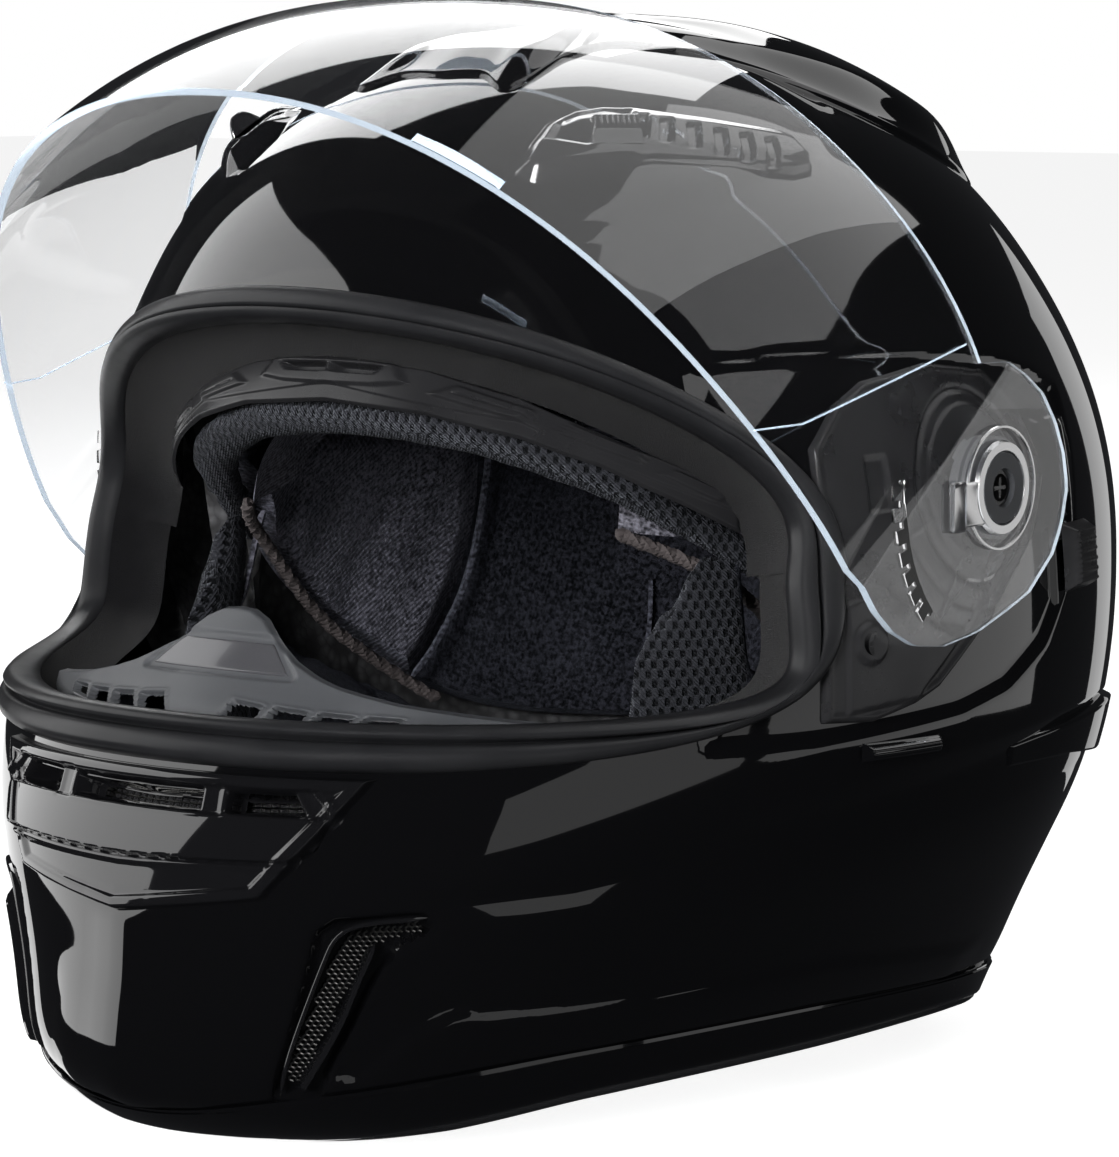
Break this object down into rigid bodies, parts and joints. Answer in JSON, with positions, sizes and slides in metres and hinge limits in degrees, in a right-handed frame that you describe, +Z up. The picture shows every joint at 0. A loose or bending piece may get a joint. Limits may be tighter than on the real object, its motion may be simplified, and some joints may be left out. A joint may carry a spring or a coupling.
{
  "type": "motorcycle helmet",
  "caption": "Full-face motorcycle helmet with a hinged clear shield, an inner sun visor, sliding vents and a padded lining",
  "frame": {"origin": "under the middle of the helmet's overall box, on the surface it stands on", "axes": "+Z up, -Y towards the front (the face), +X to the wearer's left"},
  "size_m": [0.2768, 0.348, 0.2848],
  "materials": {
    "gloss_black": "gloss clear coat",
    "matte_black": "fine grained",
    "gloss_trim": "gloss",
    "grey_plastic": "matte",
    "gasket_rubber": "matte",
    "clear_shield": "clear",
    "smoke_visor": "dark tint",
    "silver_badge": "metallic gloss",
    "steel_mesh": "woven",
    "zinc_screw": "plated",
    "eps_foam": "beaded foam",
    "liner_knit": "brushed knit",
    "mesh_cloth": "spacer mesh",
    "webbing": "woven"
  },
  "bodies": {
    "helmet": {"outer_shell": "gloss_black", "lower_edge_trim": "gloss_trim", "eyeport_gasket": "gasket_rubber", "chin_vent_cover": "gloss_black", "chin_vent_filter": "mesh_cloth", "side_vent_frame_L": "gloss_trim", "side_vent_frame_R": "gloss_trim", "side_vent_mesh_L": "steel_mesh", "side_vent_mesh_R": "steel_mesh", "side_vent_blade_L": "gloss_trim", "side_vent_blade_R": "gloss_trim", "breath_deflector": "grey_plastic", "deflector_badge": "silver_badge", "forehead_vent_L": "gloss_black", "forehead_vent_R": "gloss_black", "crown_fairing": "gloss_black", "rear_exhaust_grille": "matte_black", "wing_block_L": "gloss_trim", "wing_block_R": "gloss_trim", "shield_base_plate_L": "matte_black", "shield_base_plate_R": "matte_black", "shield_pivot_L": "grey_plastic", "shield_pivot_R": "grey_plastic", "pivot_screw_L": "zinc_screw", "pivot_screw_R": "zinc_screw", "plate_screw_L": "zinc_screw", "plate_screw_R": "zinc_screw", "visor_pivot_L": "zinc_screw", "visor_pivot_R": "zinc_screw", "visor_slider_bezel": "matte_black", "eps_liner": "eps_foam", "chin_eps": "eps_foam", "brow_trim": "matte_black", "brow_pad": "mesh_cloth", "crown_liner": "liner_knit", "crown_pad": "liner_knit", "cheek_pad_L": "liner_knit", "cheek_pad_R": "liner_knit", "neck_roll": "liner_knit", "chin_strap_L": "webbing", "chin_strap_R": "webbing", "d_ring": "zinc_screw", "strap_snap": "zinc_screw"},
    "shield": {"shield": "clear_shield", "shield_rack_L": "clear_shield", "shield_rack_R": "clear_shield"},
    "sun_visor": {"sun_visor": "smoke_visor", "visor_arm_L": "matte_black", "visor_arm_R": "matte_black"},
    "visor_slider": {"visor_slider": "matte_black"},
    "chin_vent_gate": {"chin_vent_gate": "matte_black"},
    "forehead_slider_L": {"forehead_vent_slider_L": "matte_black"},
    "forehead_slider_R": {"forehead_vent_slider_R": "matte_black"},
    "release_lever_L": {"release_lever_L": "matte_black"},
    "release_lever_R": {"release_lever_R": "matte_black"}
  },
  "joints": [
    {"name": "shield_tilt", "type": "hinge", "parent": "helmet", "child": "shield", "pos_m": [0, 0.00754, 0.161], "axis": [1, 0, 0], "range_deg": [0, 51]},
    {"name": "sun_visor_tilt", "type": "hinge", "parent": "helmet", "child": "sun_visor", "pos_m": [0, 0.00754, 0.157], "axis": [1, 0, 0], "range_deg": [0, 38]},
    {"name": "visor_slider_travel", "type": "slide", "parent": "helmet", "child": "visor_slider", "axis": [-0.1273, -0.0438, 0.9909], "range_m": [0, 0.02]},
    {"name": "chin_gate_travel", "type": "slide", "parent": "helmet", "child": "chin_vent_gate", "axis": [0, 0.3081, 0.9514], "range_m": [0, 0.007]},
    {"name": "forehead_slider_travel_L", "type": "slide", "parent": "helmet", "child": "forehead_slider_L", "axis": [0.6053, 0.796, 0], "range_m": [0, 0.008]},
    {"name": "forehead_slider_travel_R", "type": "slide", "parent": "helmet", "child": "forehead_slider_R", "axis": [-0.6053, 0.796, 0], "range_m": [0, 0.008]},
    {"name": "release_lever_travel_L", "type": "slide", "parent": "helmet", "child": "release_lever_L", "axis": [0.1525, 0.9883, 0], "range_m": [0, 0.005], "stiffness_N_per_m": 200},
    {"name": "release_lever_travel_R", "type": "slide", "parent": "helmet", "child": "release_lever_R", "axis": [-0.1525, 0.9883, 0], "range_m": [0, 0.005], "stiffness_N_per_m": 200}
  ],
  "couplings": [
    {"joint": "visor_slider_travel", "follows": "sun_visor_tilt", "m_per_rad": 0.030153}
  ]
}
